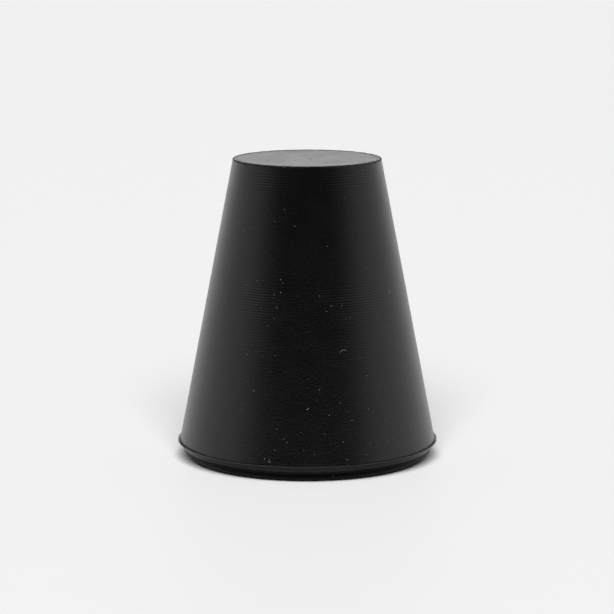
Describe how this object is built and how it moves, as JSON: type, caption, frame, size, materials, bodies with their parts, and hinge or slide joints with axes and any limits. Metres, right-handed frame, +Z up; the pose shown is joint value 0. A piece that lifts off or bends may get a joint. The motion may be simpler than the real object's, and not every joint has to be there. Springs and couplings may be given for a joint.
{
  "type": "rubber stopper",
  "caption": "Solid tapered rubber bung that stands on its wide end and plugs the round neck of a flask, bottle or tube.",
  "frame": {"origin": "centre of the flat wide face, which the stopper stands on", "axes": "+Z up the axis from the wide face to the narrow face; +X and +Y lie in the wide face, and -Y is the side that faces the viewer"},
  "size_m": [0.0254, 0.0254, 0.0294],
  "materials": {
    "rubber": "matt black moulded rubber with fine turned rings on the wall and pale dust"
  },
  "bodies": {
    "root": {"stopper": "rubber"}
  },
  "joints": []
}
